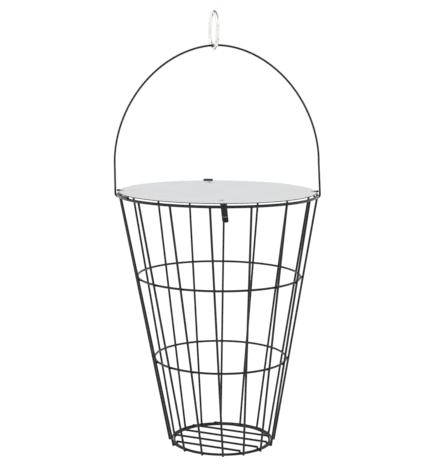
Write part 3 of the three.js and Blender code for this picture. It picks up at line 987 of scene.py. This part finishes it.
def place_strip(piece, body, node, change):
    """Move a strip to its place by a function and give it the finish of all strips."""
    reshape_piece(piece, change)
    place(piece, strip_coat, "dark_strip", body, node)


def shifted_to_lid(points):
    """Points drawn about the strap's middle line, moved to their place on the lid."""
    return on_lid(points + [strap_offset, 0, 0])


print("a strip's points are", round(strip_step / MM, 2), "mm apart")

# %% [markdown]
# ### The hinge
#
# The hinge strap is riveted under the lid, comes up through the slot, steps over the lid's edge and wraps
# down round the rim, where it turns. A few corners draw it, and the easing bends them.

# %% Hinge strap
leaf_tail = 5 * MM
loop_rise = 1.05 * MM
loop_play = 0.7 * MM
loop_lip = 3.6 * MM
hinge_rub_height = 1.1 * MM
hinge_rub_reach = 1.5 * MM

loop_top = lid_top + loop_rise + strap_thickness / 2
loop_reach = rim_wire / 2 + loop_play + strap_thickness / 2
hinge_corners = np.array([
    [rivet_reach - leaf_tail, leaf_height],
    [riser_place, leaf_height],
    [riser_place, loop_top],
    [rim_at_strap + loop_reach, loop_top],
    [rim_at_strap + loop_reach, -loop_reach],
    [rim_at_strap - loop_lip, -loop_reach],
])
hinge_line = eased(hinge_corners, strap_bend, strip_step)
hinge = bent_strip("hinge_strap", hinge_line, np.linspace(-0.5, 0.5, 9) * hinge_width, strap_thickness)
mark_wear_and_highlight(hinge, [[0, rim_at_strap, rim_wire / 2 + hinge_rub_height]], hinge_rub_reach)
place_strip(hinge, "lid", "lid_hinge", shifted_to_lid)
print("hinge strap", round(run_along(hinge_line)[-1] / MM, 1), "mm long")

# %% [markdown]
# ### The latch's bracket
#
# A bracket is riveted under the lid at the front, and its narrow tongue is rolled round the pin of the
# latch. The roll is an arc about the pin that eases into the flat of the strip. The latch's ears get the
# same radius, so that both sit on the pin with the same play.

# %% Latch bracket
latch_width = 7.4 * MM
latch_thickness = 0.7 * MM
pin_radius = 0.6 * MM
pin_gap = 0.2 * MM
knuckle_radius = 1.5 * MM
knuckle_width = 3.0 * MM
tongue_lead = 2.2 * MM
tongue_curl = (50, 322)
curl_ease = 0.35 * MM
curl_points = 90

pin_place = ((np.array(joint_of["latch_swing"]["pos_m"]) - rim_centre) @ lid_axes.T)[1:]
curl_radius = pin_radius + pin_gap + latch_thickness / 2


def curl(first, last):
    """An arc about the pin between two angles in degrees, counted from the rear over the top."""
    return arc(pin_place, curl_radius, math.radians(first), math.radians(last), curl_points)


leaf_end = leaf_tail - rivet_reach
flat_leaf = np.array([[leaf_end, leaf_height], [pin_place[0] + tongue_lead, leaf_height]])
bracket_line = eased(np.concatenate([flat_leaf, curl(*tongue_curl)]), curl_ease, strip_step)
leaf_length = leaf_end - (pin_place[0] + knuckle_radius + running_gap)
bracket_share = np.where(run_along(bracket_line) < leaf_length, 1, knuckle_width / latch_width)
bracket_columns = np.linspace(-0.5, 0.5, 7) * latch_width
bracket = bent_strip("latch_bracket_strip", bracket_line, bracket_columns, latch_thickness, bracket_share)
place_strip(bracket, "lid", "latch_bracket", shifted_to_lid)

# %% [markdown]
# ### The latch
#
# The latch is a flat clip with two ears on the pin and a window between them for the tongue. Its lower end
# is creased and bent out for a finger, with rounded corners. It hangs a little askew, as thin clips do, so
# its points are slanted a little.

# %% Latch clip
clip_curl = (-80, 205)
crease_drop = 11.1 * MM
latch_drop = 17.2 * MM
latch_flare = 2.2 * MM
latch_corner = 2.4 * MM
latch_lean = math.radians(6)
half_column_shares = np.array([0.12, 0.243, 0.32, 0.4, 0.5])
window_half_share = 0.24
window_leg = 1.4 * MM
# The crease is marked as worn coat, and the bare metal there also paints a highlight on the bend.
crease_highlight_half_share = 0.4
crease_highlight_spots = 9
crease_highlight_reach = 0.75 * MM

latch_face = -(rim_at_strap + rim_wire / 2 + running_gap + latch_thickness / 2)
clip_end = np.array([
    [latch_face, pin_place[1] - knuckle_radius - running_gap],
    [latch_face, -crease_drop],
    [latch_face - latch_flare, -latch_drop],
])
clip_line = eased(np.concatenate([curl(*clip_curl), clip_end]), curl_ease, strip_step)
clip_run = run_along(clip_line)
from_end = np.clip(clip_run[-1] - clip_run, 0, latch_corner)
corner_loss = latch_corner - np.sqrt(latch_corner**2 - (latch_corner - from_end) ** 2)
curl_length = curl_radius * math.radians(clip_curl[1] - clip_curl[0])
clip = bent_strip(
    "latch_clip_strip",
    clip_line,
    np.concatenate([-half_column_shares[::-1], [0], half_column_shares]) * latch_width,
    latch_thickness,
    width_share=1 - corner_loss / (latch_width / 2),
    window_rows=int(np.argmax(clip_run > curl_length + window_leg)),
    window_half=window_half_share * latch_width,
)
# Painted highlight and wear along the crease: spots across the clip where the coat turns to bare metal.
crease_highlight_x = np.linspace(-crease_highlight_half_share, crease_highlight_half_share, crease_highlight_spots) * latch_width
mark_wear_and_highlight(clip, [[x, latch_face - latch_thickness / 2, -crease_drop] for x in crease_highlight_x], crease_highlight_reach)


def leaning(points):
    """The clip hangs a little askew: each point moves sideways by its drop below the pin."""
    drop = pin_place[1] - points[:, 2:]
    return shifted_to_lid(points + math.tan(latch_lean) * drop * [1, 0, 0])


place_strip(clip, "latch", "latch_clip", leaning)
print("latch clip", round(clip_run[-1] / MM, 1), "mm long")

# %% [markdown]
# ### The latch's pin
#
# The latch turns on a short pin through its ears and the bracket's roll. It is cut wire like the cage's, so
# the same function makes it.

# %% Latch pin
pin_overhang = 0.4 * MM
pin_cuts = (0.2 * MM, 0.2 * MM)
pin_sides = 20
pin_half = latch_width / 2 + pin_overhang
pin_ends = shifted_to_lid(np.array([[-pin_half, *pin_place], [pin_half, *pin_place]]))
pin = cut_wire("latch_pin_rod", pin_ends, upward, 2 * pin_radius, straight_step, pin_cuts, pin_sides)
place(pin, dull_nickel, "plated_metal", "lid", "latch_pin")

# %% [markdown]
# ### The rivets
#
# Two rivets hold the strips to the lid: a low dome, a shank through the sheet and the strip, and a spread
# tail. A ball and two cylinders could be joined for them, but one turned profile has no seams.

# %% Rivets
rivet_shank = 1.4 * MM
rivet_head = 3.0 * MM
head_rim = 0.15 * MM
dome_height = 0.99 * MM
rivet_tail = 2.3 * MM
tail_height = 0.7 * MM
rivet_sides = 40
dome_points = 14
tail_points = 6


def rivet_profile():
    """From the tail's underside up the shank, then a quarter of an ellipse over the head."""
    head_base = lid_top + running_gap / 3
    tail_top = leaf_height - strap_thickness / 2 - running_gap / 3
    tail_half = tail_height / 2
    tail = arc((rivet_tail - tail_half, tail_top - tail_half), tail_half, -np.pi / 2, 0, tail_points)
    radii = [rivet_tail, rivet_shank, rivet_shank, rivet_head]
    shank = np.column_stack([radii, [tail_top, tail_top, head_base, head_base]])
    head = arc((0, head_base + head_rim), (rivet_head, dome_height), 0, np.pi / 2, dome_points)
    return np.concatenate([[[0, tail_top - tail_height]], tail, shank, head])


for node, reach in (("hinge_rivet", rivet_reach), ("latch_rivet", -rivet_reach)):
    rivet = new_piece(f"{node}_head", *turned(rivet_profile(), rivet_sides))
    reshape_piece(rivet, lambda points: shifted_to_lid(points + [0, reach, 0]))
    place(rivet, dull_nickel, "plated_metal", "lid", node)

# %% [markdown]
# ## The snap hook
#
# The hook is a bow of thick wire, bent to an oval with a gap that a sprung gate closes. The gate turns on a
# pin through the flat lower end of the bow, and its slotted tip catches a tenon on the upper end. All of it
# is drawn in its own plane and turned once, by the direction of the gate's joint.

# %% The hook's frame and sizes
hook_y = -np.array(joint_of["gate_swing"]["axis"])
hook_axes = np.stack([np.cross(hook_y, upward), hook_y, upward])
hook_wire = 4.5 * MM
hook_width = 24 * MM
hook_height = 48 * MM
nose_height = -13 * MM
nose_clearance = 0.9 * MM
gate_wire = 4.4 * MM
gate_pin_radius = 0.8 * MM
tongue_thickness = 1.6 * MM
tenon_length = 1.8 * MM

hook_half_width = (hook_width - hook_wire) / 2
hook_half_height = (hook_height - hook_wire) / 2
hook_middle = hook_wire / 2 - hook_half_height
pivot_height = joint_of["gate_swing"]["pos_m"][2]


def hook_angle(height):
    """The angle on the oval at which it reaches a height."""
    return math.asin((height - hook_middle) / hook_half_height)


def hook_line(angle):
    """An oval: the half width times the cosine, and the half height times the sine about its middle."""
    x = hook_half_width * np.cos(angle)
    return np.stack([x, np.zeros_like(x), hook_middle + hook_half_height * np.sin(angle)], axis=-1)


pivot = hook_line(np.array(hook_angle(pivot_height)))
nose = hook_line(np.array(hook_angle(nose_height)))
gate_along = unit(nose - pivot)
gate_axes = np.stack([np.cross([0, 1, 0], gate_along), [0, 1, 0], gate_along])
gate_length = np.linalg.norm(nose - pivot) - nose_clearance


def on_gate(points):
    """Points drawn along the gate from its pivot, moved to their place on the hook."""
    return (pivot + points @ gate_axes) @ hook_axes


print("gate", round(gate_length / MM, 1), "mm long")

# %% [markdown]
# ### The bow
#
# The bow is a cut wire along most of the oval. Its lower end is pressed flat into a tongue and its upper
# end milled to the tenon: both are blocks joined to the wire. The tongue's round end is a hair thinner than
# its block, because faces in one plane are hard to join cleanly.

# %% Hook body
hook_sides = 40
hook_step = 0.7 * MM
bow_points = 300
bow_cuts = (0.5 * MM, 0.4 * MM)
block_corner = 0.1 * MM
disc_sides = 32
thinner_share = 0.999


def gate_solid(outline, low, high, order=(0, 1, 2)):
    """A prism along the gate, or across it where the order of its axes is changed."""
    piece = prism("gate_solid", outline, low, high)
    reshape_piece(piece, lambda points: on_gate(points[:, order]))
    return piece


def block(width, thickness):
    """The outline of a block, by its width in the hook's plane and its thickness across it."""
    return rounded_rectangle(width, thickness, block_corner, steps=2)


stand_off = gate_wire / 2 + running_gap
bow_ends = (hook_angle(pivot_height - stand_off), hook_angle(nose_height) - 2 * np.pi)
bow_line = hook_line(np.linspace(*bow_ends, bow_points)) @ hook_axes
hook_body = cut_wire("snap_hook_bow", bow_line, hook_y, hook_wire, hook_step, bow_cuts, hook_sides)
tongue_radius = gate_pin_radius + tongue_thickness / 2
tongue = gate_solid(block(2 * tongue_radius, tongue_thickness), -stand_off - hook_wire / 2, 0)
end_half = tongue_thickness * thinner_share / 2
tongue_end = gate_solid(circle(tongue_radius, disc_sides), -end_half, end_half, order=(1, 2, 0))
tenon_top = gate_length + nose_clearance + hook_wire / 2
tenon = gate_solid(block(hook_wire / 2, tongue_thickness), gate_length - tenon_length, tenon_top)
cut_or_join(hook_body, [tongue, tongue_end, tenon], "UNION")
place(hook_body, bright_nickel, "plated_metal", "snap_hook", "snap_hook_body")

# %% [markdown]
# ### The gate
#
# The gate is a turned bar, rounded at one end. It is made as on the bench: a slot straddles the tongue,
# another takes the tenon, and a bore holds the spring that pushes the gate shut.

# %% Gate
slot_width = tongue_thickness + 2 * running_gap
cheek_top = gate_wire / 2 + running_gap + hook_wire / 4
spring_radius = 0.85 * MM
spring_wire = 0.4 * MM
spring_length = 8 * MM
gate_step = 4 * MM
gate_round_share = 0.98
gate_sides = 40
bore_sides = 24

gate_ends = on_gate(np.array([[0, 0, -gate_wire / 2], [0, 0, gate_length]]))
gate_cuts = (gate_wire / 2 * gate_round_share, wire_cut)
gate = cut_wire("snap_hook_gate_bar", gate_ends, hook_y, gate_wire, gate_step, gate_cuts, gate_sides)
slot = block(2 * gate_wire, slot_width)
cheek_slot = gate_solid(slot, -gate_wire, cheek_top)
nose_slot = gate_solid(slot, gate_length - tenon_length - running_gap, 2 * gate_length)
bore = circle(spring_radius + spring_wire, bore_sides)
spring_bore = gate_solid(bore, 0, cheek_top + spring_length + running_gap)
cut_or_join(gate, [cheek_slot, nose_slot, spring_bore], "DIFFERENCE")
place(gate, bright_nickel, "plated_metal", "gate", "snap_hook_gate")

# %% [markdown]
# ### The gate's pin and spring
#
# The pin is a short cut wire. The spring is a helix, which a screw modifier could turn too. Here its
# section is laid out from the coil's axis, so that the wire doesn't twist.

# %% Pin and spring
gate_pin_cuts = (0.25 * MM, 0.25 * MM)
gate_pin_sides = 24
spring_turns = 6
spring_turn_points = 40
spring_step = 0.15 * MM
spring_cuts = (0.05 * MM, 0.05 * MM)
spring_sides = 10


def spring_line():
    """A helix: an arc of many turns that climbs evenly, with the wire's own radius kept at each end."""
    turns = arc((0, 0), spring_radius, 0, 2 * np.pi * spring_turns, spring_turn_points * spring_turns)
    climb = np.linspace(spring_wire / 2, spring_length - spring_wire / 2, len(turns))
    return np.column_stack([turns, cheek_top + climb])


pin_line = on_gate(np.array([[0, -gate_wire / 2, 0], [0, gate_wire / 2, 0]]))
gate_pin = cut_wire(
    "gate_pin_rod", pin_line, upward, 2 * gate_pin_radius, straight_step, gate_pin_cuts, gate_pin_sides
)
place(gate_pin, bright_nickel, "plated_metal", "snap_hook", "gate_pin")

coil = spring_line()
outward = (coil * [1, 1, 0]) @ gate_axes @ hook_axes
spring = cut_wire(
    "gate_spring_coil", on_gate(coil), outward, spring_wire, spring_step, spring_cuts, spring_sides
)
place(spring, bright_nickel, "plated_metal", "gate", "gate_spring")

# %% [markdown]
# ## The camera
#
# The camera stands where the picture was taken from: a metre and a half in front, a little above the lid,
# and tipped down nine degrees, so that the lid and the floor both show as thin ovals.

# %% Camera
picture_height = 475
focal_pixels = 1204.9
film_height = 36
camera_place = np.array([5.8, -1481.3, -42.6]) * MM
camera_yaw, camera_pitch, camera_roll = 0.044, 8.866, 0.35


def turn_about(axis, degrees):
    """A turn about one of the axes, as a matrix."""
    return Matrix.Rotation(math.radians(degrees), 4, axis)


camera_data = bpy.data.cameras.new("camera")
camera_data.sensor_fit = "VERTICAL"
camera_data.sensor_height = film_height
camera_data.lens = film_height * focal_pixels / picture_height
camera = new_object("camera", camera_data)
level_view = turn_about("Z", camera_yaw) @ turn_about("X", 90 - camera_pitch)
camera.matrix_world = Matrix.Translation(camera_place) @ level_view @ turn_about("Z", camera_roll)
bpy.context.scene.camera = camera
print("lens", round(camera_data.lens, 1), "mm")

# %% [markdown]
# ## The floor
#
# The feeder hangs over a pale floor in a white studio. The floor answers camera rays with its own shading
# raised to white, so it needs no strong light and keeps the shadow. From below it is clear, so that the
# grate can be looked at.

# %% Floor
floor_drop = 120 * MM
floor_half = 6.0
floor_grey = 0.35
floor_roughness = 0.9
floor_lift = 0.78
white = grey(1.0)


def seen_ray(tree, *others):
    """One for rays that see the background: the camera's, those through glass and the other kinds named."""
    ray = add_node(tree, "LightPath", {}).outputs
    seen = ray["Is Camera Ray"]
    for kind in ("Transmission", *others):
        seen = compute(tree, "MAXIMUM", seen, ray[f"Is {kind} Ray"])
    return seen


def pale_floor():
    """A dull grey raised to white for seen rays, and nothing from below."""
    finish, tree, shader, _ = new_finish("pale_floor")
    fill(tree, shader, {
        "Base Color": grey(floor_grey),
        "Roughness": floor_roughness,
        "Specular IOR Level": 0.0,
        "Emission Color": white,
        "Emission Strength": compute(tree, "MULTIPLY", seen_ray(tree, "Glossy"), floor_lift),
    })
    below = source(tree, "NewGeometry", "Backfacing")
    clear = source(tree, "BsdfTransparent", "BSDF")
    surface = add_node(tree, "MixShader", {0: below, 1: shader.outputs[0], 2: clear}).outputs[0]
    fill(tree, tree.nodes["Material Output"], {"Surface": surface})
    return finish


floor_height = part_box("floor_ring")[0].z - floor_drop
corners = floor_half * np.array([[-1, -1], [1, -1], [1, 1], [-1, 1]])
floor = new_piece("floor", np.column_stack([corners, np.full(4, floor_height)]), [[0, 1, 2, 3]])
floor.data.materials.append(pale_floor())
print("floor at", round(floor_height, 3), "m")

# %% [markdown]
# ## Sky and lamps
#
# The light is soft: an even sky and two broad lamps. Only rays from the camera, and those that glass passes
# on, see pure white, so the background adds no light to the object. Mirrors see a sky that is white at the
# horizon and darker above, which gives the wires and the hook their streaks.

# %% Sky and lamps
ambient = 0.72
mirror_top = 0.2
mirror_fade_from, mirror_fade_to = 0.35, 0.75
basket_middle = (0.0, 0.0, -0.3)
lamp_width = 2.0


def studio_sky():
    """White for the camera, an even grey for lighting, and for mirrors white that darkens upward."""
    world = bpy.data.worlds.new("studio")
    world.use_nodes = True
    tree = world.node_tree
    direction = source(tree, "TexCoord", "Generated")
    height = add_node(tree, "SeparateXYZ", {"Vector": direction}).outputs["Z"]
    height = compute(tree, "ABSOLUTE", height)
    level = spread(tree, height, 1.0, mirror_top, mirror_fade_from, mirror_fade_to)
    mirrored = blend_colours(tree, level, grey(0.0), white)
    glossy = source(tree, "LightPath", "Is Glossy Ray")
    lighting = blend_colours(tree, glossy, grey(ambient), mirrored)
    fill(tree, tree.nodes["Background"], {"Color": blend_colours(tree, seen_ray(tree), lighting, white)})
    bpy.context.scene.world = world


def soft_lamp(name, where, power):
    """A broad round lamp aimed at the middle of the basket."""
    data = bpy.data.lights.new(name, "AREA")
    set_all(data, {"shape": "DISK", "size": lamp_width, "energy": power})
    lamp = new_object(name, data)
    lamp.location = where
    lamp.rotation_euler = (Vector(basket_middle) - Vector(where)).to_track_quat("-Z", "Y").to_euler()


studio_sky()
soft_lamp("key_lamp", where=(-0.9, -1.1, 1.3), power=8)
soft_lamp("fill_lamp", where=(1.2, -0.6, 1.1), power=3)
print("lamps:", [data.name for data in bpy.data.lights])

# %% [markdown]
# ## Close
#
# Colours are shown as they are written, without a film look.

# %% Show colours as written
bpy.context.scene.view_settings.view_transform = "Standard"
